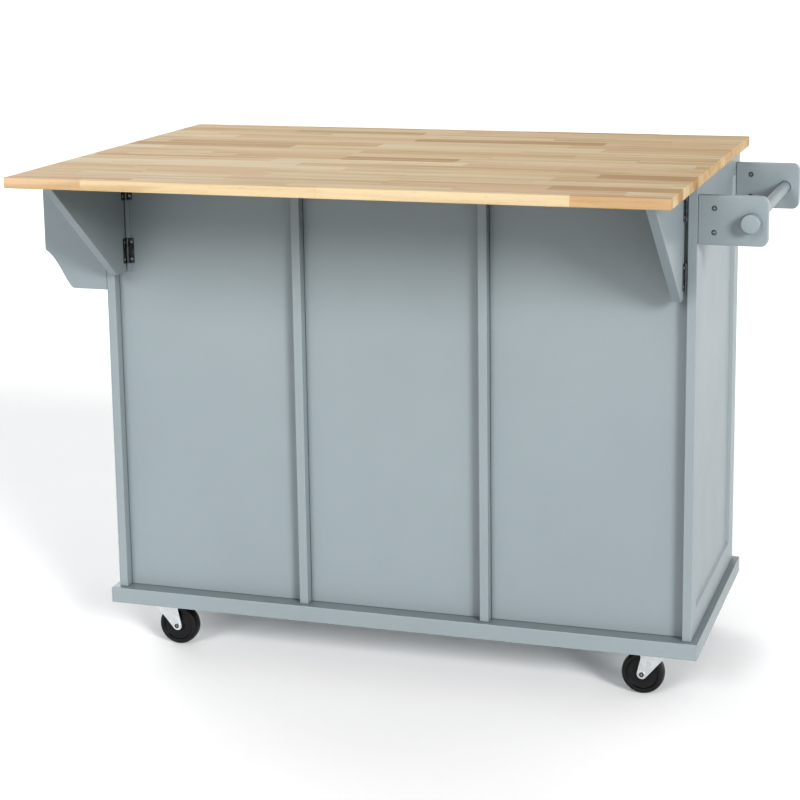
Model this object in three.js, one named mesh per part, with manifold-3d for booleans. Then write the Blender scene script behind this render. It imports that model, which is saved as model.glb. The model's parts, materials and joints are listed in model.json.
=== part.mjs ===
// Kitchen island cart: a three-bay cabinet on swivel casters with a butcher-block top, a hinged
// drop leaf held up by two swing-out brackets, a spice rack on one end and a towel rod on the other.
// Millimetres, +Z up. The doors and drawers face -Y, the drop leaf is at +Y, the towel rod is on
// the -X end ("left") and the spice rack on the +X end ("right").
import * as THREE from "three";
import { mergeVertices } from "three/addons/utils/BufferGeometryUtils.js";
import Module from "manifold-3d";

const wasm = await Module();
wasm.setup();

// ---------------------------------------------------------------- driving dimensions
// Working frame: x = 0 midway between the end panels, y = 0 at the cabinet's rear plane, z = 0 floor.
const GAP = 0.3; // clearance between pieces that touch
const CABINET = { width: 1070, depth: 462, board: 16 };
const BASE = { top: 123, thickness: 29, side: 12, rear: 11, front: 14 };
const TOP = { length: 1100, thickness: 18, height: 935, front: 12, rear: 3.5 };
const LEAF = { seam: 3, rear: 330 };
const FRAME_LOOK = { stile: 45, rail: 44, recess: 6, bevel: 4 };
const PARTITION_X = 169;
const BACK = { recess: 19, thickness: 6 };
const SHELF = { height: 510, thickness: 15, setback: 22, side: 0.5 };
const DOOR = { thickness: 16, gap: 2, stile: 52, recess: 5, bevel: 3 };
const DRAWER = {
  gap: 3, stile: 34, depth: 400, height: 170, wall: 12, floor: 6, side: 13, lift: 12,
  levels: ["bottom", "middle", "top"],
};
const KNOB = { length: 25.7, head: 15, neck: 6, foot: 10, doorHeight: 560 };
const BRACKET = { reach: 262, bottom: 718, toe: 22, nose: 7, thickness: 16, endGap: 1, root: 0.5 };
const SMALL_HINGE = { height: 45, radius: 2.4, plate: 1.2, pin: 1, width: 12 };
const LEAF_HINGE = { height: 60, radius: 3, plate: 1.5, pin: 1.4, width: 20, x: 120 };
const HINGE_HEIGHTS = { lower: 757, upper: 872 };
const TOWEL = { outer: 649, bottom: 811, top: 893, thickness: 15, corner: 12, frontPlate: 417 };
const TOWEL_BLOCK = { length: 25, width: 30, height: 62 };
const ROD = { x: 623, z: 851, radius: 10, head: 15.5, headLength: 21.7, socket: 11, clearance: 0.4 };
const SPICE = { outer: 656, foot: 603, bottom: 686, shoulder: 755, top: 893, thickness: 15 };
const CASTER = { x: 462, inset: 60, radius: 38, width: 24, trail: 20, plate: 60, plateThickness: 2.5 };
const WHEEL = { hub: 11, dish: 4, rim: 9.5, chamfer: 3, bore: 0.4 };
const FORK = {
  inner: 13, arm: 2.5, crownLow: 78.5, crownHigh: 82, boss: 9, race: 18.5, raceTop: 86.6,
  front: -19, rear: 24, neck: 68, neckFront: -17, neckRear: 22.5,
};
const KINGPIN = { radius: 5, head: 8, headThickness: 2.5, clearance: 0.4 };
const AXLE = { radius: 4, head: 6, headThickness: 2 };
const PEDAL = { x: 38, z: 76, hub: 3.5, pin: 1.6, halfWidth: 12 };
const PEDAL_EAR = [[16, 82], [38, 80.5], [42.5, 76], [38, 71.5], [18, 68]];
const PEDAL_LEVER = [[37, 79.5], [60, 85], [68, 82.5], [68, 79.5], [60, 81.5], [41, 74.5], [38, 76]];

const END_X = CABINET.width / 2;
const INNER_X = END_X - CABINET.board;
const UNDER_TOP = TOP.height - TOP.thickness;
const BASE_UNDER = BASE.top - BASE.thickness;
const FRONT_Y = -CABINET.depth;
const BOARD_LOW = BASE.top + GAP;
const BOARD_HIGH = UNDER_TOP - GAP;
const SEAM_Y = TOP.rear + LEAF.seam / 2;
const MIDDLE_X = PARTITION_X - CABINET.board / 2;
const SIDE_BAY_X = PARTITION_X + CABINET.board / 2;

// ---------------------------------------------------------------- materials
const finish = (color, roughness, metalness = 0) =>
  new THREE.MeshStandardMaterial({ color, roughness, metalness });
const paint = () => finish(0xa3b0b6, 0.45);
const wood = () => finish(0xd7be96, 0.4);
const whiteBoard = () => finish(0xd9dcdc, 0.55);
const zinc = () => finish(0xc3c9ce, 0.35, 0.9);
const darkSteel = () => finish(0x2b2e30, 0.4, 0.8);
const knobMetal = () => finish(0xb9bcbf, 0.3, 0.9);
const blackPlastic = () => finish(0x0e1013, 0.45);

// ---------------------------------------------------------------- shape helpers
const cart = new THREE.Group();

function add(name, geometry, material, parent = cart) {
  const mesh = new THREE.Mesh(geometry, material);
  mesh.name = name;
  parent.add(mesh);
  return mesh;
}

function box(x0, x1, y0, y1, z0, z1) {
  const geometry = new THREE.BoxGeometry(x1 - x0, y1 - y0, z1 - z0);
  return geometry.translate((x0 + x1) / 2, (y0 + y1) / 2, (z0 + z1) / 2);
}

// A cylinder along the axis "y" or "z", from one end to the other.
function cylinder(axis, radius, from, to, segments = 24) {
  const geometry = new THREE.CylinderGeometry(radius, radius, to - from, segments);
  geometry.translate(0, (from + to) / 2, 0);
  return axis === "z" ? geometry.rotateX(Math.PI / 2) : geometry;
}

// An outline drawn in the XZ plane and given a thickness along Y, from y0 to y1.
function slabXZ(shape, y0, y1, curveSegments = 8) {
  const geometry = new THREE.ExtrudeGeometry(shape, { depth: y1 - y0, bevelEnabled: false, curveSegments });
  return geometry.rotateX(Math.PI / 2).translate(0, y1, 0);
}

function polygon(points) {
  return new THREE.Shape(points.map(([x, z]) => new THREE.Vector2(x, z)));
}

function solid(geometry) {
  const plain = geometry.clone();
  plain.deleteAttribute("normal");
  plain.deleteAttribute("uv");
  const merged = mergeVertices(plain, 1e-4);
  return new wasm.Manifold(
    new wasm.Mesh({
      numProp: 3,
      vertProperties: merged.attributes.position.array,
      triVerts: new Uint32Array(merged.index.array),
    }),
  );
}

function geometryOf(made) {
  const mesh = made.getMesh();
  const geometry = new THREE.BufferGeometry();
  geometry.setAttribute("position", new THREE.BufferAttribute(mesh.vertProperties, 3));
  geometry.setIndex(new THREE.BufferAttribute(mesh.triVerts, 1));
  geometry.computeVertexNormals();
  return geometry;
}

const join = (...shapes) =>
  geometryOf(shapes.map(solid).reduce((whole, next) => whole.add(next)));
const cut = (body, ...tools) =>
  geometryOf(tools.map(solid).reduce((whole, tool) => whole.subtract(tool), solid(body)));

// The turned profile [radius, height] pairs, about the Y axis; it has to run anticlockwise.
function lathe(profile, segments) {
  return new THREE.LatheGeometry(profile.map(([r, y]) => new THREE.Vector2(r, y)), segments);
}

// A board in the XZ plane, facing -Y, with a sunken field inside a frame of stiles and rails.
function framedBoard(width, height, thickness, { stile, rail, recess, bevel }) {
  const board = box(-width / 2, width / 2, 0, thickness, 0, height);
  const field = new THREE.BoxGeometry(width - 2 * stile, recess + 1, height - 2 * rail);
  const corners = field.attributes.position;
  for (let i = 0; i < corners.count; i++) {
    if (corners.getY(i) < 0) continue;
    corners.setX(i, corners.getX(i) - Math.sign(corners.getX(i)) * bevel);
    corners.setZ(i, corners.getZ(i) - Math.sign(corners.getZ(i)) * bevel);
  }
  field.translate(0, (recess - 1) / 2, height / 2);
  return cut(board, field);
}

// ---------------------------------------------------------------- cabinet
function addCarcass() {
  add("base_board", box(
    -END_X - BASE.side, END_X + BASE.side, FRONT_Y - BASE.front, BASE.rear, BASE_UNDER, BASE.top,
  ), paint());
  for (const [name, side] of [["left", -1], ["right", 1]]) {
    const panel = framedBoard(CABINET.depth, BOARD_HIGH - BOARD_LOW, CABINET.board, FRAME_LOOK);
    const mesh = add("side_panel_" + name, panel, paint());
    mesh.rotation.z = (side * Math.PI) / 2;
    mesh.position.set(side * END_X, FRONT_Y / 2, BOARD_LOW);
    const [near, far] = [MIDDLE_X, SIDE_BAY_X].map((x) => side * x).sort((a, b) => a - b);
    add("partition_" + name, box(near, far, FRONT_Y, 0, BOARD_LOW, BOARD_HIGH), paint());
    const [low, high] = [SIDE_BAY_X, INNER_X].map((x) => side * x).sort((a, b) => a - b);
    addBackPanel("back_panel_" + name, low, high);
    add("shelf_" + name, box(
      low + SHELF.side, high - SHELF.side, FRONT_Y + SHELF.setback, -BACK.recess - BACK.thickness - GAP,
      SHELF.height, SHELF.height + SHELF.thickness,
    ), whiteBoard());
  }
  addBackPanel("back_panel_middle", -MIDDLE_X, MIDDLE_X);
}

function addBackPanel(name, low, high) {
  const rear = -BACK.recess;
  add(name, box(low + GAP, high - GAP, rear - BACK.thickness, rear, BOARD_LOW, BOARD_HIGH), paint());
}

function addTops() {
  const half = TOP.length / 2;
  add("main_top", box(-half, half, FRONT_Y - TOP.front, TOP.rear, UNDER_TOP, TOP.height), wood());
  add("drop_leaf", box(-half, half, TOP.rear + LEAF.seam, LEAF.rear, UNDER_TOP, TOP.height), wood());
}

// ---------------------------------------------------------------- hinges
// One plate of a butt hinge whose pin is the Z axis. The plate runs off along +X, turned by turn,
// on the side (+1 or -1) of that direction. The fixed plate has the two outer knuckles; the moving
// plate has the middle one and the pin.
function hingePlate({ height, radius, plate, pin, width }, moving, turn, side) {
  const third = height / 3;
  const root = radius + 0.6;
  const [v0, v1] = side > 0 ? [radius - plate, radius] : [-radius, plate - radius];
  const pieces = [box(root, width, v0, v1, -height / 2, height / 2)];
  for (const k of moving ? [0] : [-1, 1]) {
    const low = (k - 0.5) * third + GAP / 2;
    const high = (k + 0.5) * third - GAP / 2;
    pieces.push(box(0, root + 0.2, v0, v1, low, high), cylinder("z", radius, low, high, 12));
  }
  if (moving) pieces.push(cylinder("z", pin, -height / 2, height / 2, 8));
  const made = join(...pieces);
  const bored = moving ? made : cut(made, cylinder("z", pin + GAP, -height, height, 8));
  return bored.rotateZ(turn);
}

function addLeafHinges() {
  const lieAlongX = new THREE.Matrix4().makeBasis(
    new THREE.Vector3(0, 1, 0), new THREE.Vector3(0, 0, 1), new THREE.Vector3(1, 0, 0),
  );
  const pinZ = BOARD_HIGH - LEAF_HINGE.radius;
  for (const [name, side] of [["left", -1], ["right", 1]]) {
    const parts = [
      ["fixed", hingePlate(LEAF_HINGE, false, Math.PI, -1)],
      ["moving", hingePlate(LEAF_HINGE, true, 0, 1)],
    ];
    for (const [kind, geometry] of parts) {
      const plate = add(`leaf_hinge_${name}_${kind}`, geometry.applyMatrix4(lieAlongX), zinc());
      plate.position.set(side * LEAF_HINGE.x, SEAM_Y, pinZ);
    }
  }
}

// ---------------------------------------------------------------- leaf brackets
// Triangular boards square to the cabinet's back. The left one has its pins in the gap beside the
// end panel and folds into the recess; the right one turns about its inner face.
function addBracket(name, x0, rootY, pinX, pinY, fixedTurn, fixedSide) {
  const profile = polygon([
    [rootY, BRACKET.bottom], [BRACKET.toe, BRACKET.bottom], [BRACKET.reach, BOARD_HIGH - BRACKET.nose],
    [BRACKET.reach, BOARD_HIGH], [rootY, BOARD_HIGH],
  ]);
  const board = slabXZ(profile, 0, BRACKET.thickness).rotateZ(Math.PI / 2);
  add("bracket_" + name, board.translate(x0 + BRACKET.thickness, 0, 0), paint());
  for (const [level, z] of Object.entries(HINGE_HEIGHTS)) {
    const fixed = hingePlate(SMALL_HINGE, false, fixedTurn, fixedSide);
    const moving = hingePlate(SMALL_HINGE, true, Math.PI / 2, -1);
    for (const [kind, geometry] of [["fixed", fixed], ["moving", moving]]) {
      const plate = add(`bracket_hinge_${name}_${level}_${kind}`, geometry, darkSteel());
      plate.position.set(pinX, pinY, z);
    }
  }
}

function addBrackets() {
  const { radius } = SMALL_HINGE;
  const leftPinX = -INNER_X + GAP + radius;
  const leftPinY = 1;
  addBracket("left", leftPinX + radius + GAP, leftPinY + BRACKET.root, leftPinX, leftPinY,
    -Math.PI / 2, -1);
  const rightX = INNER_X - BRACKET.endGap - BRACKET.thickness;
  const rightPinY = -BACK.recess + GAP + radius;
  addBracket("right", rightX, rightPinY + BRACKET.root, rightX - radius - GAP, rightPinY,
    Math.PI, 1);
}

// ---------------------------------------------------------------- towel rod
function towelOutline() {
  const { outer, bottom, top, corner } = TOWEL;
  const inner = -END_X - GAP;
  const shape = new THREE.Shape();
  shape.moveTo(inner, bottom);
  shape.lineTo(inner, top);
  shape.lineTo(-outer + corner, top);
  shape.absarc(-outer + corner, top - corner, corner, Math.PI / 2, Math.PI, false);
  shape.absarc(-outer + corner, bottom + corner, corner, Math.PI, 1.5 * Math.PI, false);
  shape.closePath();
  return shape;
}

function addTowelRack() {
  const { length, width, height } = TOWEL_BLOCK;
  const boreRadius = ROD.radius + ROD.clearance;
  const rodSeat = -TOWEL.frontPlate - ROD.socket;
  for (const [name, rear] of [["rear", 0], ["front", -TOWEL.frontPlate]]) {
    const behind = rear - TOWEL.thickness;
    const low = ROD.z - height / 2;
    const plate = join(
      slabXZ(towelOutline(), behind, rear),
      box(-END_X - width, -END_X - GAP, behind - length, behind + 1, low, low + height),
    );
    const boreFrom = name === "rear" ? behind - 1 : rodSeat - GAP;
    const bore = cylinder("y", boreRadius, boreFrom, rear + 1).translate(-ROD.x, 0, ROD.z);
    add("towel_plate_" + name, cut(plate, bore), paint());
  }
  const rod = lathe([
    [0, rodSeat], [ROD.radius, rodSeat], [ROD.radius, GAP], [ROD.head - 1, GAP], [ROD.head, GAP + 1],
    [ROD.head, GAP + ROD.headLength - 1.5], [ROD.head - 1.5, GAP + ROD.headLength],
    [0, GAP + ROD.headLength],
  ], 24);
  add("towel_rod", rod.translate(-ROD.x, 0, ROD.z), paint());
}

// ---------------------------------------------------------------- spice rack
function addSpiceRack() {
  const inner = END_X + GAP;
  const { outer, foot, bottom, shoulder, top, thickness } = SPICE;
  const ogee = new THREE.Shape();
  ogee.moveTo(inner, bottom);
  ogee.lineTo(foot, bottom);
  ogee.bezierCurveTo(foot + 16, bottom + 11, foot + 25, shoulder - 17, outer, shoulder);
  ogee.lineTo(outer, top);
  ogee.lineTo(inner, top);
  ogee.closePath();
  const frontY = -TOWEL.frontPlate;
  add("spice_end_rear", slabXZ(ogee, -thickness, 0, 12), paint());
  add("spice_end_front", slabXZ(ogee, frontY - thickness, frontY, 12), paint());
  const [y0, y1] = [frontY + GAP, -thickness - GAP];
  add("spice_shelf", box(inner, foot - 2, y0, y1, bottom + 3, bottom + 15), paint());
  add("spice_rail", box(outer - 15, outer - 3, y0, y1, shoulder + 10, shoulder + 45), paint());
}

// ---------------------------------------------------------------- casters
// In a caster's own frame the swivel axis is Z, the wheel trails along +X and the axle lies along Y.
const onAxle = (radius, from, to) =>
  cylinder("y", radius, from, to, 14).translate(CASTER.trail, 0, CASTER.radius);

// The angle on a circle where the line from an outside point touches it.
function tangentAngle([px, pz], [cx, cz], radius, turn) {
  const distance = Math.hypot(px - cx, pz - cz);
  return Math.atan2(pz - cz, px - cx) + turn * Math.acos(radius / distance);
}

function forkArm() {
  const axle = [CASTER.trail, CASTER.radius];
  const [front, rear] = [[FORK.neckFront, FORK.neck], [FORK.neckRear, FORK.neck]];
  const leaves = tangentAngle(front, axle, FORK.boss, 1);
  const returns = tangentAngle(rear, axle, FORK.boss, -1);
  const shape = new THREE.Shape();
  shape.moveTo(FORK.front, FORK.crownHigh);
  shape.lineTo(...front);
  shape.absarc(...axle, FORK.boss, leaves, returns, false);
  shape.lineTo(...rear);
  shape.lineTo(FORK.rear, FORK.crownHigh);
  shape.closePath();
  return shape;
}

function addFork(name, group, braked) {
  const { inner, arm, crownLow, crownHigh, race, raceTop } = FORK;
  const outer = inner + arm;
  const headEnd = outer + AXLE.headThickness;
  const pieces = [box(FORK.front, FORK.rear, -outer, outer, crownLow, crownHigh)];
  pieces.push(cylinder("z", race, crownHigh - 1, raceTop, 24));
  for (const side of [-1, 1]) {
    const [y0, y1] = side < 0 ? [-outer, -inner] : [inner, outer];
    pieces.push(slabXZ(forkArm(), y0, y1));
    if (braked) pieces.push(slabXZ(polygon(PEDAL_EAR), y0, y1));
    pieces.push(onAxle(AXLE.head, ...(side < 0 ? [-headEnd, -inner] : [inner, headEnd])));
  }
  pieces.push(onAxle(AXLE.radius, -outer, outer));
  const tools = [cylinder("z", KINGPIN.radius + KINGPIN.clearance, crownLow - 1, raceTop + 1, 14)];
  if (braked) {
    tools.push(cylinder("y", PEDAL.pin + GAP, -outer - 1, outer + 1, 12).translate(PEDAL.x, 0, PEDAL.z));
  }
  add("caster_fork_" + name, cut(join(...pieces), ...tools), zinc(), group);
}

function addCasterPlate(name, group) {
  const half = CASTER.plate / 2;
  const top = BASE_UNDER - GAP;
  const underPlate = top - CASTER.plateThickness;
  const headTop = FORK.crownLow - KINGPIN.clearance;
  add("caster_plate_" + name, join(
    box(-half, half, -half, half, underPlate, top),
    cylinder("z", FORK.race + 0.5, FORK.raceTop + KINGPIN.clearance, underPlate + 1, 24),
    cylinder("z", KINGPIN.radius, headTop - 1, underPlate, 14),
    cylinder("z", KINGPIN.head, headTop - KINGPIN.headThickness, headTop, 14),
  ), zinc(), group);
}

function addWheel(name, group) {
  const w = CASTER.width / 2;
  const r = CASTER.radius;
  const { hub, dish, rim, chamfer, bore } = WHEEL;
  const half = [
    [AXLE.radius + bore, w], [hub, w], [hub + 1, w - dish], [r - rim - 1.5, w - dish], [r - rim, w],
    [r - chamfer, w], [r, w - dish],
  ];
  const mirrored = half.map(([radius, y]) => [radius, -y]);
  const profile = [...mirrored, ...half.toReversed(), mirrored[0]];
  add("caster_wheel_" + name, lathe(profile, 32).translate(CASTER.trail, 0, r), blackPlastic(), group);
}

function addPedal(name, group) {
  const { x, z, hub, pin, halfWidth } = PEDAL;
  add("brake_pedal_" + name, join(
    cylinder("y", hub, -halfWidth, halfWidth, 16).translate(x, 0, z),
    slabXZ(polygon(PEDAL_LEVER), -halfWidth, halfWidth),
    cylinder("y", pin, -FORK.inner - FORK.arm, FORK.inner + FORK.arm, 12).translate(x, 0, z),
  ), darkSteel(), group);
}

function addCasters() {
  const rearY = -CASTER.inset;
  const frontY = FRONT_Y + CASTER.inset;
  const places = [
    ["rear_left", -CASTER.x, rearY, 0, false],
    ["rear_right", CASTER.x, rearY, Math.PI, false],
    ["front_left", -CASTER.x, frontY, -Math.PI / 2, true],
    ["front_right", CASTER.x, frontY, -Math.PI / 2, true],
  ];
  for (const [name, x, y, heading, braked] of places) {
    const group = new THREE.Group();
    group.position.set(x, y, 0);
    group.rotation.z = heading;
    cart.add(group);
    addCasterPlate(name, group);
    addFork(name, group, braked);
    addWheel(name, group);
    if (braked) addPedal(name, group);
  }
}

// ---------------------------------------------------------------- doors and drawers
function addKnob(name, x, z) {
  const { length, head, neck, foot } = KNOB;
  const profile = lathe([
    [0, 0], [foot, 0], [neck, 5], [neck, length - 14], [head, length - 8], [head, length - 4],
    [head - 5, length], [0, length],
  ], 20);
  const knob = add(name, profile.rotateX(Math.PI), knobMetal());
  knob.position.set(x, FRONT_Y - GAP, z);
}

function addDoors() {
  const low = BASE.top + DOOR.gap + 0.5;
  const high = UNDER_TOP - DOOR.gap - 0.5;
  const width = INNER_X - SIDE_BAY_X - 2 * DOOR.gap;
  const look = { stile: DOOR.stile, rail: DOOR.stile, recess: DOOR.recess, bevel: DOOR.bevel };
  for (const [name, side] of [["left", -1], ["right", 1]]) {
    const door = add("door_" + name, framedBoard(width, high - low, DOOR.thickness, look), paint());
    door.position.set((side * (INNER_X + SIDE_BAY_X)) / 2, FRONT_Y, low);
    addKnob("door_knob_" + name, side * (SIDE_BAY_X + DOOR.gap + DOOR.stile / 2), KNOB.doorHeight);
  }
}

function addDrawers() {
  const { gap, stile, depth, height, wall, floor, side, lift, levels } = DRAWER;
  const frontHeight = (UNDER_TOP - BASE.top - (levels.length + 1) * gap) / levels.length;
  const width = 2 * (MIDDLE_X - DOOR.gap);
  const look = { stile, rail: stile, recess: DOOR.recess, bevel: DOOR.bevel };
  levels.forEach((name, i) => {
    const low = BASE.top + gap + i * (frontHeight + gap);
    const front = add("drawer_front_" + name, framedBoard(width, frontHeight, DOOR.thickness, look), paint());
    front.position.set(0, FRONT_Y, low);
    const half = MIDDLE_X - side;
    const y0 = FRONT_Y + DOOR.thickness + GAP;
    const z0 = low + lift;
    add("drawer_box_" + name, cut(
      box(-half, half, y0, y0 + depth, z0, z0 + height),
      box(-half + wall, half - wall, y0 + wall, y0 + depth - wall, z0 + floor, z0 + height + 1),
    ), whiteBoard());
    addKnob("drawer_knob_" + name, 0, low + frontHeight / 2);
  });
}

addCarcass();
addTops();
addLeafHinges();
addBrackets();
addTowelRack();
addSpiceRack();
addCasters();
addDoors();
addDrawers();

// The part's origin is under the middle of its outermost box: spice rack to towel rack, knobs to leaf.
const knobTip = FRONT_Y - GAP - KNOB.length;
cart.position.set((TOWEL.outer - SPICE.outer) / 2, -(LEAF.rear + knobTip) / 2, 0);

const part = new THREE.Group();
part.add(cart);
export default part;
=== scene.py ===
import json
import math

import bmesh
import bpy
from mathutils import Matrix, Vector


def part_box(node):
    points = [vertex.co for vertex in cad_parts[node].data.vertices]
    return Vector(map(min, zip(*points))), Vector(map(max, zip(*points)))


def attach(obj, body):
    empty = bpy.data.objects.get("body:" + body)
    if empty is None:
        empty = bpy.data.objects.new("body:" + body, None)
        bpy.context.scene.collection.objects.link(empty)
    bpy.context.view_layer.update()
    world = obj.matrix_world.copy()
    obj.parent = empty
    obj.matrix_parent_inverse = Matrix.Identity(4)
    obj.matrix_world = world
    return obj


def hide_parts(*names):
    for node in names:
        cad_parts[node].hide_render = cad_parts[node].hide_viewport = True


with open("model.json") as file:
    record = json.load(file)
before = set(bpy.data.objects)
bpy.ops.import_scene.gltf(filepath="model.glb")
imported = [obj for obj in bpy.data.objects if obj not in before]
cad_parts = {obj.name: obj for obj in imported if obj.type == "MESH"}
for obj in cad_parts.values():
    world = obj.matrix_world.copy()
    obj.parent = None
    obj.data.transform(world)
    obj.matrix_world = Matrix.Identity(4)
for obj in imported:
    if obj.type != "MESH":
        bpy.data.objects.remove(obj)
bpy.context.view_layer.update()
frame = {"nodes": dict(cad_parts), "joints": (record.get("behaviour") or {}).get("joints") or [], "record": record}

X, Y, Z = Vector((1, 0, 0)), Vector((0, 1, 0)), Vector((0, 0, 1))
CORNERS = ("rear_left", "rear_right", "front_left", "front_right")
LEVELS = ("bottom", "middle", "top")
SIDES = (("left", -1), ("right", 1))
NODES = frame["nodes"]
JOINTS = {joint["name"]: joint for joint in frame["joints"]}


# ---------------------------------------------------------------- camera, light and floor
CAMERA = {  # metres and degrees, and the lens in millimetres
    "place": (-1.0696, 3.2985, 1.3711), "yaw": 17.97, "pitch": -11.43, "roll": -0.80,
    "lens": 90.0, "shift_y": -0.12,
}


def make_camera():
    data = bpy.data.cameras.new("camera")
    data.sensor_width = 36
    data.lens = CAMERA["lens"]
    data.shift_y = CAMERA["shift_y"]
    camera = bpy.data.objects.new("camera", data)
    bpy.context.scene.collection.objects.link(camera)
    yaw, pitch, roll = (math.radians(CAMERA[k]) for k in ("yaw", "pitch", "roll"))
    ahead = Vector((
        math.sin(yaw) * math.cos(pitch), -math.cos(yaw) * math.cos(pitch), math.sin(pitch),
    ))
    turn = ahead.to_track_quat("-Z", "Y").to_matrix() @ Matrix.Rotation(roll, 3, "Z")
    camera.matrix_world = Matrix.Translation(CAMERA["place"]) @ turn.to_4x4()
    bpy.context.scene.camera = camera


def softbox(name, azimuth, elevation, strength, spread, colour=(1, 1, 1)):
    """A wide, far lamp: azimuth is the side it stands on, in degrees from +X towards +Y."""
    data = bpy.data.lights.new(name, "SUN")
    data.energy = strength
    data.angle = math.radians(spread)
    data.color = colour
    lamp = bpy.data.objects.new(name, data)
    bpy.context.scene.collection.objects.link(lamp)
    side, rise = math.radians(azimuth), math.radians(elevation)
    away = Vector((math.cos(side) * math.cos(rise), math.sin(side) * math.cos(rise), math.sin(rise)))
    lamp.location = away * 6  # only its direction counts
    lamp.rotation_euler = away.to_track_quat("Z", "Y").to_euler()


def make_studio():
    """A white sweep, pale at the horizon and dimmer overhead. Two key lamps stand on the camera's side,
    behind the cart, two fill lamps before its doors, and one is overhead."""
    world = bpy.data.worlds.new("studio")
    world.use_nodes = True
    nodes, links = world.node_tree.nodes, world.node_tree.links
    direction = nodes.new("ShaderNodeTexCoord")
    split = nodes.new("ShaderNodeSeparateXYZ")
    sweep = nodes.new("ShaderNodeValToRGB")
    links.new(direction.outputs["Generated"], split.inputs[0])
    links.new(split.outputs["Z"], sweep.inputs["Fac"])
    links.new(sweep.outputs["Color"], nodes["Background"].inputs["Color"])
    pale, dim = (0.17, 0.82), (0.38, 0.13)  # the direction's rise, and its brightness
    for element, (rise, tone) in zip(sweep.color_ramp.elements, (pale, dim)):
        element.position = rise
        element.color = (tone * 0.985, tone * 0.995, tone, 1)
    bpy.context.scene.world = world
    bpy.context.scene.view_settings.view_transform = "Standard"
    bpy.context.scene.view_settings.look = "High Contrast"
    softbox("key_right", 137, 20, 2.3, 18, (1, 0.985, 0.965))
    softbox("key_left", 73, 27, 1.0, 24)
    softbox("overhead", 90, 78, 0.3, 60)
    softbox("front_right", -52, 24, 1.15, 50)
    softbox("front_left", -125, 30, 0.5, 50)
    reach = 60  # metres, beyond every view
    sheet = bmesh.new()
    bmesh.ops.create_grid(sheet, x_segments=8, y_segments=8, size=reach)
    floor = piece_from("floor", sheet, floor_paint())


# ---------------------------------------------------------------- materials
class Finish:
    """A new material of one plain colour and roughness, which textures then take over. add() and the
    methods that use it make a node and give back its output socket."""

    def __init__(self, name, colour, roughness, metallic=0.0):
        self.material = bpy.data.materials.new(name)
        self.material.use_nodes = True
        tree = self.material.node_tree
        self.nodes, self.links = tree.nodes, tree.links
        self.shader = self.nodes["Principled BSDF"]
        self.set("Base Color", (*colour, 1))
        self.set("Roughness", roughness)
        self.set("Metallic", metallic)
        self.here = self.add("ShaderNodeTexCoord", output="Object")

    def plug(self, socket, value):
        """Links the socket to another node's output, or gives it a plain value."""
        if isinstance(value, bpy.types.NodeSocket):
            self.links.new(value, socket)
        else:
            socket.default_value = value

    def set(self, name, value):
        self.plug(self.shader.inputs[name], value)

    def add(self, kind, inputs=None, output=0, **settings):
        node = self.nodes.new(kind)
        for name, value in settings.items():
            setattr(node, name, value)
        for name, value in (inputs or {}).items():
            self.plug(node.inputs[name], value)
        return node.outputs[output]

    def math(self, operation, a, b=0.0, c=0.0):
        return self.add("ShaderNodeMath", {0: a, 1: b, 2: c}, operation=operation)

    def stretched(self, x, y, z, vector=None):
        factors = {0: vector or self.here, 1: (x, y, z)}
        return self.add("ShaderNodeVectorMath", factors, operation="MULTIPLY")

    def noise(self, scale, detail=3.0, vector=None, roughness=0.5, distortion=0.0):
        return self.add("ShaderNodeTexNoise", {
            "Vector": vector or self.here, "Scale": scale, "Detail": detail,
            "Roughness": roughness, "Distortion": distortion,
        })

    def draw(self, number):
        """A random 0 to 1 value that is the same wherever the number is."""
        return self.add("ShaderNodeTexWhiteNoise", {"W": number}, noise_dimensions="1D")

    def between(self, value, low, high):
        """A 0 to 1 value, spread from low to high."""
        return self.add("ShaderNodeMapRange", {"Value": value, "To Min": low, "To Max": high})

    def ramp(self, value, stops):
        """The colour at a value, from stops of (place, colour)."""
        socket = self.add("ShaderNodeValToRGB", {"Fac": value})
        elements = socket.node.color_ramp.elements
        while len(elements) < len(stops):
            elements.new(0.5)
        for element, (place, colour) in zip(elements, stops):
            element.position = place
            element.color = (*colour, 1)
        return socket

    def blend(self, factor, a, b, mode="MIX"):
        colours = {0: factor, 6: a, 7: b}
        return self.add("ShaderNodeMix", colours, 2, data_type="RGBA", blend_type=mode)

    def bump(self, height, distance, strength=1.0):
        self.set("Normal", self.add("ShaderNodeBump", {
            "Height": height, "Distance": distance, "Strength": strength,
        }))


def shades(colour, *factors):
    """The colour made darker or lighter by each factor."""
    return [tuple(c * f for c in colour) for f in factors]


def floor_paint():
    """Pale matt paint, with slow drifts of tone."""
    finish = Finish("floor_paint", (0.93, 0.935, 0.94), 0.85)
    tone = finish.ramp(finish.noise(1.5), [(0.2, (0.92, 0.925, 0.93)), (0.8, (0.95, 0.95, 0.955))])
    finish.set("Base Color", tone)
    return finish.material


def painted_board():
    """Blue-grey satin paint, sprayed on fibreboard: a faint orange peel and slow drifts of tone."""
    colour = (0.226, 0.2605, 0.276)
    finish = Finish("painted_board", colour, 0.4)
    dark, light = shades(colour, 0.955, 1.045)
    drift = finish.ramp(finish.noise(2.2, 3), [(0.3, dark), (0.7, light)])
    speck = finish.ramp(finish.noise(420, 2), [(0.35, dark), (0.65, light)])
    finish.set("Base Color", finish.blend(0.25, drift, speck))
    finish.set("Roughness", finish.between(finish.noise(9, 4), 0.34, 0.5))
    finish.set("Coat Weight", 0.12)
    finish.set("Coat Roughness", 0.3)
    finish.bump(finish.noise(620, 2), 0.00012, 0.35)
    return finish.material


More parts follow.
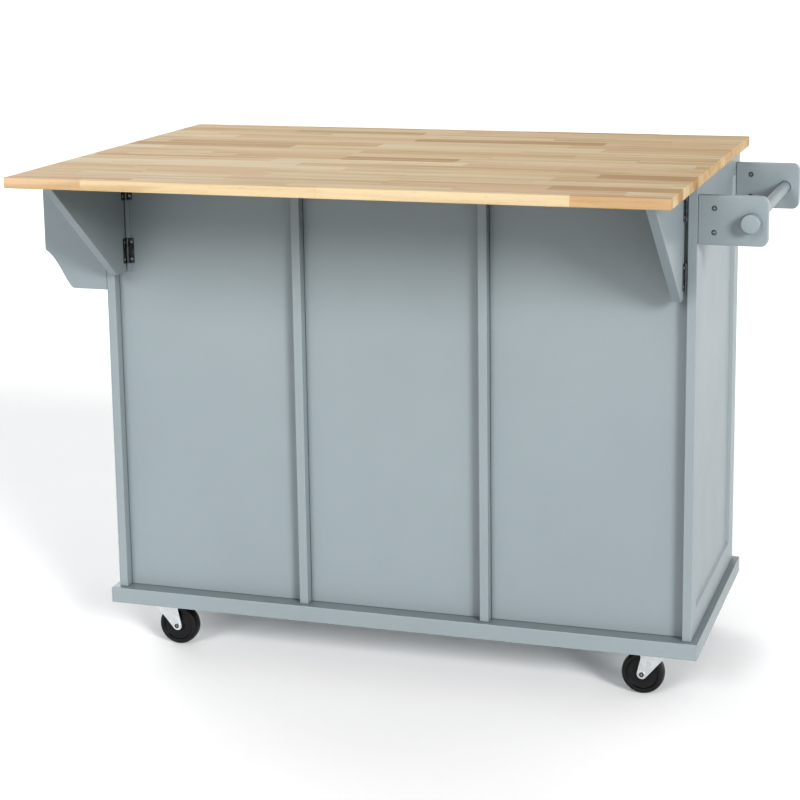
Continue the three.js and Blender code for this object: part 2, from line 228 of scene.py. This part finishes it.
def butcher_block():
    """Oiled rubberwood staves, end-jointed, running along X; the ends of the boards show end grain."""
    finish = Finish("butcher_block", (0.68, 0.515, 0.305), 0.4)
    stave_width, joint_line = 0.0455, 0.00035
    rows_start, second_seed = 7.019, 0.37  # where row 0 begins, and what sets a row's two draws apart
    stride = (3.17, 5.71, 1.3)  # how far off each next stave takes its grain
    place = finish.add("ShaderNodeSeparateXYZ", {0: finish.here}).node.outputs
    across = finish.math("DIVIDE", finish.math("ADD", place["Y"], rows_start), stave_width)
    row, in_row = finish.math("FLOOR", across), finish.math("FRACT", across)
    row_length = finish.between(finish.draw(row), 0.2, 0.46)
    start = finish.between(finish.draw(finish.math("ADD", row, second_seed)), 5, 9)
    along = finish.math("DIVIDE", finish.math("ADD", place["X"], start), row_length)
    block, in_block = finish.math("FLOOR", along), finish.math("FRACT", along)
    stave = finish.add("ShaderNodeCombineXYZ", {"X": row, "Y": block})
    stave_draw = finish.add("ShaderNodeTexWhiteNoise", {"Vector": stave}, noise_dimensions="3D")
    tone = finish.ramp(stave_draw, [
        (0.0, (0.505, 0.428, 0.302)), (0.3, (0.488, 0.400, 0.268)), (0.55, (0.465, 0.368, 0.236)),
        (0.72, (0.468, 0.352, 0.236)), (0.86, (0.445, 0.330, 0.200)), (0.94, (0.400, 0.282, 0.160)),
        (1.0, (0.335, 0.222, 0.120)),
    ])
    # Each stave's own grain: long fibres, a few growth lines and short dark pores.
    apart = finish.stretched(*stride, stave)
    grain_place = finish.add("ShaderNodeVectorMath", {0: finish.here, 1: apart}, operation="ADD")
    fibres = finish.noise(1, 5, finish.stretched(4, 170, 120, grain_place), 0.6)
    lines = finish.noise(1, 3, finish.stretched(2.2, 46, 38, grain_place), 0.45, 0.8)
    pores = finish.noise(1, 1, finish.stretched(95, 1500, 900, grain_place))
    fleck = finish.ramp(pores, [(0.64, (1, 1, 1)), (0.72, (0.8, 0.74, 0.66))])
    streak = finish.ramp(fibres, [(0.25, (0.86, 0.82, 0.77)), (0.5, (1, 1, 1)), (0.8, (1.06, 1.06, 1.05))])
    growth = finish.ramp(lines, [(0.36, (0.84, 0.78, 0.7)), (0.5, (1, 1, 1)), (0.7, (1.04, 1.03, 1.02))])
    tone = finish.blend(0.9, tone, streak, "MULTIPLY")
    tone = finish.blend(0.9, tone, growth, "MULTIPLY")
    tone = finish.blend(0.5, tone, fleck, "MULTIPLY")
    # End grain on the faces towards -X and +X: close rings about a centre of each stave's own.
    normal = finish.add("ShaderNodeNewGeometry", output="Normal")
    lean = finish.math("ABSOLUTE", finish.add("ShaderNodeSeparateXYZ", {0: normal}, "X"))
    end = finish.math("GREATER_THAN", lean, 0.7)
    rings = finish.add("ShaderNodeTexWave", {
        "Vector": grain_place, "Scale": 95, "Distortion": 5, "Detail": 3, "Detail Scale": 1.4,
    }, 1, wave_type="RINGS", rings_direction="X")
    ringed = finish.ramp(rings, [(0.1, (0.84, 0.78, 0.7)), (0.7, (1.03, 1.02, 1.0))])
    tone = finish.blend(end, tone, finish.blend(0.8, tone, ringed, "MULTIPLY"))
    # The glue lines between staves and across their ends.
    side_gap = finish.math("MULTIPLY", finish.math("PINGPONG", in_row, 0.5), stave_width)
    end_gap = finish.math("MULTIPLY", finish.math("PINGPONG", in_block, 0.5), row_length)
    glue = finish.math("LESS_THAN", finish.math("MINIMUM", side_gap, end_gap), joint_line)
    tone = finish.blend(finish.math("MULTIPLY", glue, 0.45), tone, (0.36, 0.235, 0.13, 1))
    finish.set("Base Color", tone)
    finish.set("Roughness", finish.between(fibres, 0.55, 0.72))
    finish.set("Specular IOR Level", 0.1)
    relief = finish.math("SUBTRACT", finish.math("ADD", fibres, finish.math("MULTIPLY", pores, -0.5)), glue)
    finish.bump(relief, 0.00012, 0.5)
    return finish.material


def white_board():
    """White melamine, with the fine pebble of its pressed face."""
    finish = Finish("white_board", (0.78, 0.785, 0.775), 0.45)
    tone = finish.ramp(finish.noise(5), [(0.3, (0.76, 0.765, 0.755)), (0.7, (0.8, 0.805, 0.8))])
    finish.set("Base Color", tone)
    finish.set("Roughness", finish.between(finish.noise(60), 0.38, 0.54))
    finish.bump(finish.noise(900, 2), 0.0001, 0.4)
    return finish.material


def metal(name, colour, roughness, patch_scale, brush=(60, 60, 60)):
    """Bare or plated metal: patches of tone, and a brushed or rolled roughness along one way."""
    finish = Finish(name, colour, roughness, 1.0)
    dark, light = shades(colour, 0.9, 1.06)
    patches = finish.add("ShaderNodeTexVoronoi", {"Vector": finish.here, "Scale": patch_scale}, 1)
    spread = finish.add("ShaderNodeSeparateColor", {0: patches})
    mottle = finish.math("ADD", finish.math("MULTIPLY", spread, 0.4), finish.math(
        "MULTIPLY", finish.noise(patch_scale * 1.7, 4), 0.6))
    finish.set("Base Color", finish.ramp(mottle, [(0.25, dark), (0.75, light)]))
    scratches = finish.noise(1, 3, finish.stretched(*brush))
    finish.set("Roughness", finish.between(scratches, roughness * 0.75, roughness * 1.35))
    finish.bump(scratches, 0.00003, 0.4)
    return finish.material


def dark_steel():
    """Blackened, oiled steel, slightly rubbed: dark in the shade and grey where it catches a lamp."""
    finish = Finish("dark_steel", (0.1, 0.105, 0.11), 0.34, 0.9)
    rubbed = finish.ramp(finish.noise(140, 4), [(0.35, (0.075, 0.08, 0.083)), (0.75, (0.16, 0.165, 0.17))])
    finish.set("Base Color", rubbed)
    finish.set("Roughness", finish.between(finish.noise(90, 3), 0.28, 0.5))
    finish.bump(finish.noise(700, 2), 0.00008, 0.4)
    return finish.material


def moulded_black():
    """Black nylon, with turning marks and a little floor dust on it."""
    finish = Finish("black_wheel", (0.005, 0.0055, 0.0065), 0.34)
    dusty = finish.ramp(finish.noise(70, 5), [
        (0.45, (0.0042, 0.0046, 0.0055)), (0.85, (0.012, 0.012, 0.0118)),
    ])
    finish.set("Base Color", dusty)
    finish.set("Roughness", finish.between(finish.noise(160, 3), 0.3, 0.52))
    finish.bump(finish.noise(480, 3), 0.0001, 0.45)
    return finish.material


def make_materials():
    """One material for each slot."""
    return {
        "painted_board": painted_board(),
        "butcher_block": butcher_block(),
        "white_board": white_board(),
        "zinc": metal("zinc", (0.66, 0.68, 0.7), 0.34, 120),
        "dark_steel": dark_steel(),
        "knob_metal": metal("knob_metal", (0.56, 0.555, 0.54), 0.28, 60, (900, 900, 60)),
        "black_wheel": moulded_black(),
    }


# ---------------------------------------------------------------- mesh helpers
TURNED = 40  # degrees: the sharpest angle that is shaded round on most turned pieces


def piece_from(name, bm, material, smooth_to=None):
    """Ends a bmesh as a new object. smooth_to is the sharpest angle, in degrees, that is shaded round."""
    bmesh.ops.recalc_face_normals(bm, faces=bm.faces)
    mesh = bpy.data.meshes.new(name)
    bm.to_mesh(mesh)
    bm.free()
    mesh.materials.append(material)
    if smooth_to is not None:
        mesh.shade_smooth()
        mesh.set_sharp_from_angle(angle=math.radians(smooth_to))
    piece = bpy.data.objects.new(name, mesh)
    bpy.context.scene.collection.objects.link(piece)
    return piece


def own(piece, body, slot, *replaced):
    """Hangs the piece under its body's empty and hides the CAD nodes that it replaces. The slot is not used."""
    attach(piece, body)
    if replaced:
        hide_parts(*replaced)
    return piece


def facing(centre, normal):
    """The matrix that puts local +Z along normal, at centre."""
    return Matrix.Translation(centre) @ Vector(normal).to_track_quat("Z", "Y").to_matrix().to_4x4()


def soften(profile, radius, steps=5):
    """The profile with each corner between its two ends rounded by a short curve."""
    made = [Vector(profile[0])]
    for before, corner, after in zip(profile, profile[1:], profile[2:]):
        before, corner, after = Vector(before), Vector(corner), Vector(after)
        reach = min(radius, (before - corner).length / 2.1, (after - corner).length / 2.1)
        a = corner + (before - corner).normalized() * reach
        b = corner + (after - corner).normalized() * reach
        for k in range(steps + 1):
            t = k / steps
            made.append(a * (1 - t) ** 2 + corner * 2 * t * (1 - t) + b * t ** 2)
    made.append(Vector(profile[-1]))
    return made


def turn_profile(bm, profile, matrix, segments=64):
    """A turned solid: profile pairs (radius, height) about local Z, placed by matrix. A profile that
    starts and ends on the axis closes there; any other closes on itself."""
    rings = []
    for radius, height in profile:
        if radius < 1e-7:
            rings.append([bm.verts.new(matrix @ Vector((0, 0, height)))])
            continue
        angles = [2 * math.pi * k / segments for k in range(segments)]
        rings.append([
            bm.verts.new(matrix @ Vector((radius * math.cos(a), radius * math.sin(a), height)))
            for a in angles
        ])
    pairs = list(zip(rings, rings[1:]))
    if len(rings[0]) > 1:
        pairs.append((rings[-1], rings[0]))
    for low, high in pairs:
        for k in range(segments):
            n = (k + 1) % segments
            corners = [low[k % len(low)], low[n % len(low)], high[n % len(high)], high[k % len(high)]]
            distinct = list(dict.fromkeys(corners))
            if len(distinct) > 2:
                bm.faces.new(distinct)


def add_block(bm, low, high, ease=0.0):
    """A box between two corners, its edges eased if asked."""
    size = Vector(high) - Vector(low)
    matrix = Matrix.Translation((Vector(low) + Vector(high)) / 2) @ Matrix.Diagonal((*size, 1))
    made = bmesh.ops.create_cube(bm, size=1, matrix=matrix)
    if ease:
        edges = list({e for v in made["verts"] for e in v.link_edges})
        bmesh.ops.bevel(bm, geom=edges, offset=ease, segments=2, affect="EDGES", profile=0.5)


CROSS = [(1, -1), (1, 1), (0, 1)]  # one arm of a screw's cross recess: how far out, and to which side


def add_screw(bm, centre, normal, radius):
    """A countersunk screw's head, a little proud of its surface, with a cross recess."""
    matrix = facing(centre, normal)
    arm, half = 0.64 * radius, 0.15 * radius
    proud, sunk, depth = 0.07 * radius, -0.25 * radius, -0.3 * radius
    outline = []
    for quarter in range(4):
        turn = Matrix.Rotation(quarter * math.pi / 2, 4, "Z")
        for out, side in CROSS:
            outline.append(turn @ Vector((arm if out else half, side * half, 0)))

    def ring(points, z, scale=1.0):
        return [bm.verts.new(matrix @ Vector((p.x * scale, p.y * scale, z))) for p in points]

    def wall(a, b):
        count = len(a)
        for k in range(count):
            bm.faces.new((a[k], a[(k + 1) % count], b[(k + 1) % count], b[k]))

    angles = [2 * math.pi * k / 28 for k in range(28)]
    circle = [Vector((math.cos(a), math.sin(a), 0)) * radius for a in angles]
    base, shoulder, rim = ring(circle, sunk, 0.8), ring(circle, 0), ring(circle, proud, 0.9)
    mouth, foot = ring(outline, proud), ring(outline, depth, 0.7)
    bm.faces.new(base)
    wall(base, shoulder)
    wall(shoulder, rim)
    wall(mouth, foot)
    bm.faces.new(foot)
    around = [bm.edges.get((loop[k - 1], loop[k])) for loop in (rim, mouth) for k in range(len(loop))]
    bmesh.ops.triangle_fill(bm, use_beauty=True, edges=around)


def screws(name, body, places, radius, slot="zinc"):
    """One piece of several screw heads, from pairs of a centre and the way that the head faces."""
    bm = bmesh.new()
    for centre, normal in places:
        add_screw(bm, Vector(centre), Vector(normal), radius)
    return own(piece_from(name, bm, MATERIALS[slot]), body, slot)


# ---------------------------------------------------------------- the CAD nodes that stay
EASE = {  # the width of the eased edges, by slot
    "painted_board": 0.0011, "butcher_block": 0.0018, "white_board": 0.0006, "zinc": 0.0003,
    "dark_steel": 0.0002,
}


def ease_edges(node, width, segments):
    """Rounds the node's sharp edges with modifiers: its own mesh keeps its shape."""
    if "custom_normal" in node.data.attributes:
        node.data.attributes.remove(node.data.attributes["custom_normal"])
    node.data.shade_flat()
    weld = node.modifiers.new("weld", "WELD")
    weld.merge_threshold = 1e-6
    flats = node.modifiers.new("flats", "DECIMATE")
    flats.decimate_type = "DISSOLVE"
    flats.angle_limit = math.radians(0.5)
    bevel = node.modifiers.new("bevel", "BEVEL")
    bevel.width = width
    bevel.segments = segments
    bevel.limit_method = "ANGLE"
    bevel.angle_limit = math.radians(35)


def dress_nodes():
    """Gives every CAD node the material of its slot, and eased edges where its slot has them."""
    for part in frame["record"]["subparts"]:
        node, slot = NODES[part["node"]], part["material_slot"]
        node.data.materials.clear()
        node.data.materials.append(MATERIALS[slot])
        if slot in EASE:
            ease_edges(node, EASE[slot], 3 if slot == "butcher_block" else 2)


# ---------------------------------------------------------------- towel rod, knobs and wheels
def make_rod():
    """The towel rod, with its wider head at the +Y end."""
    low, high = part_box("towel_rod")
    middle, head = (low + high) / 2, (high.x - low.x) / 2
    shaft, head_length, chamfer = 0.010, 0.0217, 0.001
    length = high.y - low.y
    profile = [
        (0, 0), (shaft - chamfer, 0), (shaft, chamfer), (shaft, length - head_length),
        (head, length - head_length), (head, length), (0, length),
    ]
    bm = bmesh.new()
    turn_profile(bm, soften(profile, 0.0018), facing((middle.x, low.y, middle.z), Y), 72)
    own(piece_from("rod", bm, MATERIALS["painted_board"], TURNED), "rod", "painted_board", "towel_rod")


def make_knob(node, body):
    """A brushed mushroom knob on a flared foot."""
    low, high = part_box(node)
    middle, length, head = (low + high) / 2, high.y - low.y, (high.x - low.x) / 2
    profile = [
        (0, 0), (head * 0.66, 0), (head * 0.66, 0.0016), (head * 0.4, 0.0052), (head * 0.38, length * 0.42),
        (head * 0.86, length * 0.66), (head, length * 0.76), (head * 0.97, length * 0.88),
        (head * 0.6, length * 0.985), (0, length),
    ]
    bm = bmesh.new()
    turn_profile(bm, soften(profile, 0.0035, 6), facing((middle.x, high.y, middle.z), -Y))
    own(piece_from(node + "_turned", bm, MATERIALS["knob_metal"], TURNED), body, "knob_metal", node)


def make_wheel(corner):
    """A moulded wheel: a crowned tread, a stepped rim, a dished web and a hub, the same on both sides."""
    joint = JOINTS["roll_" + corner]
    low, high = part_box("caster_wheel_" + corner)
    axis = Vector(joint["axis"])
    half, radius = (high - low).dot(axis) / 2, (high.z - low.z) / 2
    hub, bore, tyre, dish = 0.011, 0.0044, 0.0095, 0.0035
    rim, web = radius - tyre, half - dish
    outside = [
        (bore, half), (hub, half), (hub + 0.001, web), (rim - 0.0012, web), (rim, half),
        (radius - 0.0032, half), (radius - 0.0026, half - 0.0008), (radius - 0.0008, half - 0.0042),
    ]
    inside = [(r, -h) for r, h in outside]
    bm = bmesh.new()
    profile = soften(outside[::-1], 0.0006, 3) + soften(inside, 0.0006, 3) + [Vector((radius, 0.0))]
    turn_profile(bm, profile, facing(joint["pos_m"], axis), 88)
    own(piece_from("wheel_" + corner, bm, MATERIALS["black_wheel"], 30), "wheel_" + corner, "black_wheel",
        "caster_wheel_" + corner)


# ---------------------------------------------------------------- fasteners and fittings
def caster_fasteners():
    """Four screws in each caster's plate, and one at each end of its axle."""
    plate_thickness, inset, plate_screw, axle_screw = 0.0025, 0.008, 0.0036, 0.0042
    for corner in CORNERS:
        low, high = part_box("caster_plate_" + corner)
        under = high.z - plate_thickness
        places = [
            ((x, y, under), -Z)
            for x in (low.x + inset, high.x - inset) for y in (low.y + inset, high.y - inset)
        ]
        screws("caster_plate_screws_" + corner, "cabinet", places, plate_screw)
        joint = JOINTS["roll_" + corner]
        axle, axis = Vector(joint["pos_m"]), Vector(joint["axis"])
        low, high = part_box("caster_fork_" + corner)
        reach = (high - low).dot(axis) / 2
        places = [(axle + axis * reach * side, axis * side) for side in (-1, 1)]
        screws("axle_screws_" + corner, "fork_" + corner, places, axle_screw, "dark_steel")


def towel_rack_screws():
    """Two screws in the +Y face of each towel plate, one above the other."""
    off_panel, spread, radius = 0.027, 0.02, 0.0046
    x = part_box("side_panel_left")[0].x - off_panel
    for name in ("rear", "front"):
        low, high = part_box("towel_plate_" + name)
        middle = (low.z + high.z) / 2
        places = [((x, high.y, middle + dz), Y) for dz in (spread, -spread)]
        screws("towel_screws_" + name, "cabinet", places, radius, "dark_steel")


def bracket_fasteners():
    """Two screws in each plate of the brackets' hinges."""
    plate, barrel, radius, run, spread = 0.0012, 0.0024, 0.0024, 0.0078, 0.0155
    for name, _ in SIDES:
        joint = JOINTS[name + "_bracket_swing"]
        pin = Vector(joint["pos_m"])
        fixed_way, fixed_face = (-Y, X) if name == "left" else (-X, Y)
        for level in ("lower", "upper"):
            low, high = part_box(f"bracket_hinge_{name}_{level}_fixed")
            z = (low.z + high.z) / 2
            for kind, way, face in (("fixed", fixed_way, fixed_face), ("moving", Y, -X)):
                centre = Vector((pin.x, pin.y, z)) + way * run - face * (barrel - plate)
                places = [(centre + Z * dz, face) for dz in (-spread, spread)]
                body = "cabinet" if kind == "fixed" else name + "_bracket"
                screws(f"bracket_screws_{name}_{level}_{kind}", body, places, radius)


def leaf_hinge_fasteners():
    """Two screws from below in each plate of the leaf's hinges."""
    plate, run, spread, radius = 0.0015, 0.013, 0.02, 0.003
    pin_y = JOINTS["leaf_lift"]["pos_m"][1]
    for name, _ in SIDES:
        for kind, body, way in (("fixed", "cabinet", -1), ("moving", "leaf", 1)):
            low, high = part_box(f"leaf_hinge_{name}_{kind}")
            x = (low.x + high.x) / 2
            places = [((x + dx, pin_y + way * run, high.z - plate), -Z) for dx in (-spread, spread)]
            screws(f"leaf_hinge_screws_{name}_{kind}", body, places, radius)


def bracket_cleat():
    """A thin upright strip on the back panel beside the +X bracket, broken at its two hinges."""
    pin = JOINTS["right_bracket_swing"]["pos_m"]
    panel_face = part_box("back_panel_right")[1].y
    board_low, board_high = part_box("bracket_right")
    levels = [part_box(f"bracket_hinge_right_{level}_fixed") for level in ("lower", "upper")]
    stops = [board_low.z, levels[0][0].z, levels[0][1].z, levels[1][0].z, levels[1][1].z, board_high.z]
    gap, thickness, width, past_pin, stand_off, ease = 0.0006, 0.0042, 0.0075, 0.0015, 0.0002, 0.0006
    bm = bmesh.new()
    for low, high in zip(stops[::2], stops[1::2]):
        add_block(bm, (pin[0] - width + past_pin, panel_face + stand_off, low + gap),
                  (pin[0] + past_pin, panel_face + thickness, high - gap), ease)
    own(piece_from("bracket_cleat", bm, MATERIALS["painted_board"]), "cabinet", "painted_board")


def door_hinges():
    """Barrels of the doors' butt hinges: two knuckles on the cabinet with a turned tip at each end, and
    between them one knuckle on the door."""
    radius, knuckle, gap = 0.0021, 0.016, 0.0003
    half = knuckle / 2 - gap / 2
    barrel = soften([(0, -half), (radius, -half), (radius, half), (0, half)], 0.0004)
    tip = soften([
        (0, 0), (0.0013, 0), (0.0011, 0.0008), (0.0021, 0.002), (0.0018, 0.0036), (0, 0.0045),
    ], 0.0008)
    for name, _ in SIDES:
        pin = JOINTS[name + "_door_swing"]["pos_m"]
        low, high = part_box("door_" + name)
        for level, share in (("lower", 0.12), ("upper", 0.88)):
            z = low.z + (high.z - low.z) * share
            fixed, moving = bmesh.new(), bmesh.new()
            for bm, middle in ((fixed, -knuckle), (fixed, knuckle), (moving, 0)):
                turn_profile(bm, barrel, facing((pin[0], pin[1], z + middle), Z), 28)
            for side in (-1, 1):
                end = z + side * 1.5 * knuckle - side * gap
                turn_profile(fixed, tip, facing((pin[0], pin[1], end), Z * side), 24)
            for kind, bm, body in (("fixed", fixed, "cabinet"), ("moving", moving, name + "_door")):
                piece = piece_from(f"door_hinge_{name}_{level}_{kind}", bm, MATERIALS["knob_metal"], TURNED)
                own(piece, body, "knob_metal")


def channel(bm, x, side, y0, y1, z, height, depth, sheet=0.0012, ease=0.0002):
    """A pressed steel channel along Y: its web at x, its flanges reaching out on that side."""
    def block(xa, xb, za, zb):
        add_block(bm, (min(xa, xb), y0, za), (max(xa, xb), y1, zb), ease)

    half = height / 2
    block(x, x + side * sheet, z - half, z + half)
    for edge in (-1, 1):
        block(x + side * sheet, x + side * depth, z + edge * half, z + edge * (half - sheet))


def drawer_runners():
    """On each side of each drawer, a channel on the partition and a lower one on the box, inside it."""
    clearance, outer_height, inner_height, depth, set_back = 0.0004, 0.042, 0.034, 0.0085, 0.002
    for level in LEVELS:
        low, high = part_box("drawer_box_" + level)
        z = (low.z + high.z) / 2
        for name, side in SIDES:
            panel_low, panel_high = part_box("partition_" + name)
            wall_x = panel_high.x if side < 0 else panel_low.x
            box_x = low.x if side < 0 else high.x
            fixed, moving = bmesh.new(), bmesh.new()
            channel(fixed, wall_x - side * clearance, -side, low.y, high.y, z, outer_height, depth)
            channel(moving, box_x + side * clearance, side, low.y + set_back, high.y, z, inner_height, depth)
            for kind, bm, body in (("fixed", fixed, "cabinet"), ("moving", moving, level + "_drawer")):
                own(piece_from(f"runner_{level}_{name}_{kind}", bm, MATERIALS["zinc"]), body, "zinc")


def shelf_pins():
    """Four pins under each shelf."""
    length, radius, point, inset, gap = 0.008, 0.0025, 0.001, 0.05, 0.0003
    profile = soften([
        (0, 0), (radius, 0), (radius, length - point), (radius - point, length), (0, length),
    ], 0.0004)
    for name, _ in SIDES:
        low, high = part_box("shelf_" + name)
        bm = bmesh.new()
        for x, way in ((low.x, 1), (high.x, -1)):
            for y in (low.y + inset, high.y - inset):
                turn_profile(bm, profile, facing((x, y, low.z - radius - gap), X * way), 24)
        own(piece_from("shelf_pins_" + name, bm, MATERIALS["knob_metal"], TURNED), "cabinet", "knob_metal")


def top_blocks():
    """Blocks that the worktop is screwed down through, in the side bays' upper corners."""
    size, gap, half_length, from_back, from_front, ease = 0.022, 0.0006, 0.02, 0.06, 0.08, 0.0012
    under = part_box("main_top")[0].z
    for name, side in SIDES:
        panel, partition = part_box("side_panel_" + name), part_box("partition_" + name)
        wall = panel[1].x if side < 0 else panel[0].x
        inner = partition[0].x if side < 0 else partition[1].x
        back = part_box("back_panel_" + name)[0].y
        bm = bmesh.new()
        for x, way in ((wall, -side), (inner, side)):
            for y in (back - from_back, panel[0].y + from_front):
                low_x, high_x = sorted((x + way * gap, x + way * size))
                add_block(bm, (low_x, y - half_length, under - size),
                          (high_x, y + half_length, under - gap), ease)
        own(piece_from("top_blocks_" + name, bm, MATERIALS["white_board"]), "cabinet", "white_board")


# ---------------------------------------------------------------- the scene
make_camera()
make_studio()
MATERIALS = make_materials()
dress_nodes()
make_rod()
for side_name, _ in SIDES:
    make_knob("door_knob_" + side_name, side_name + "_door")
for level_name in LEVELS:
    make_knob("drawer_knob_" + level_name, level_name + "_drawer")
for corner_name in CORNERS:
    make_wheel(corner_name)
caster_fasteners()
towel_rack_screws()
bracket_fasteners()
leaf_hinge_fasteners()
bracket_cleat()
door_hinges()
drawer_runners()
shelf_pins()
top_blocks()
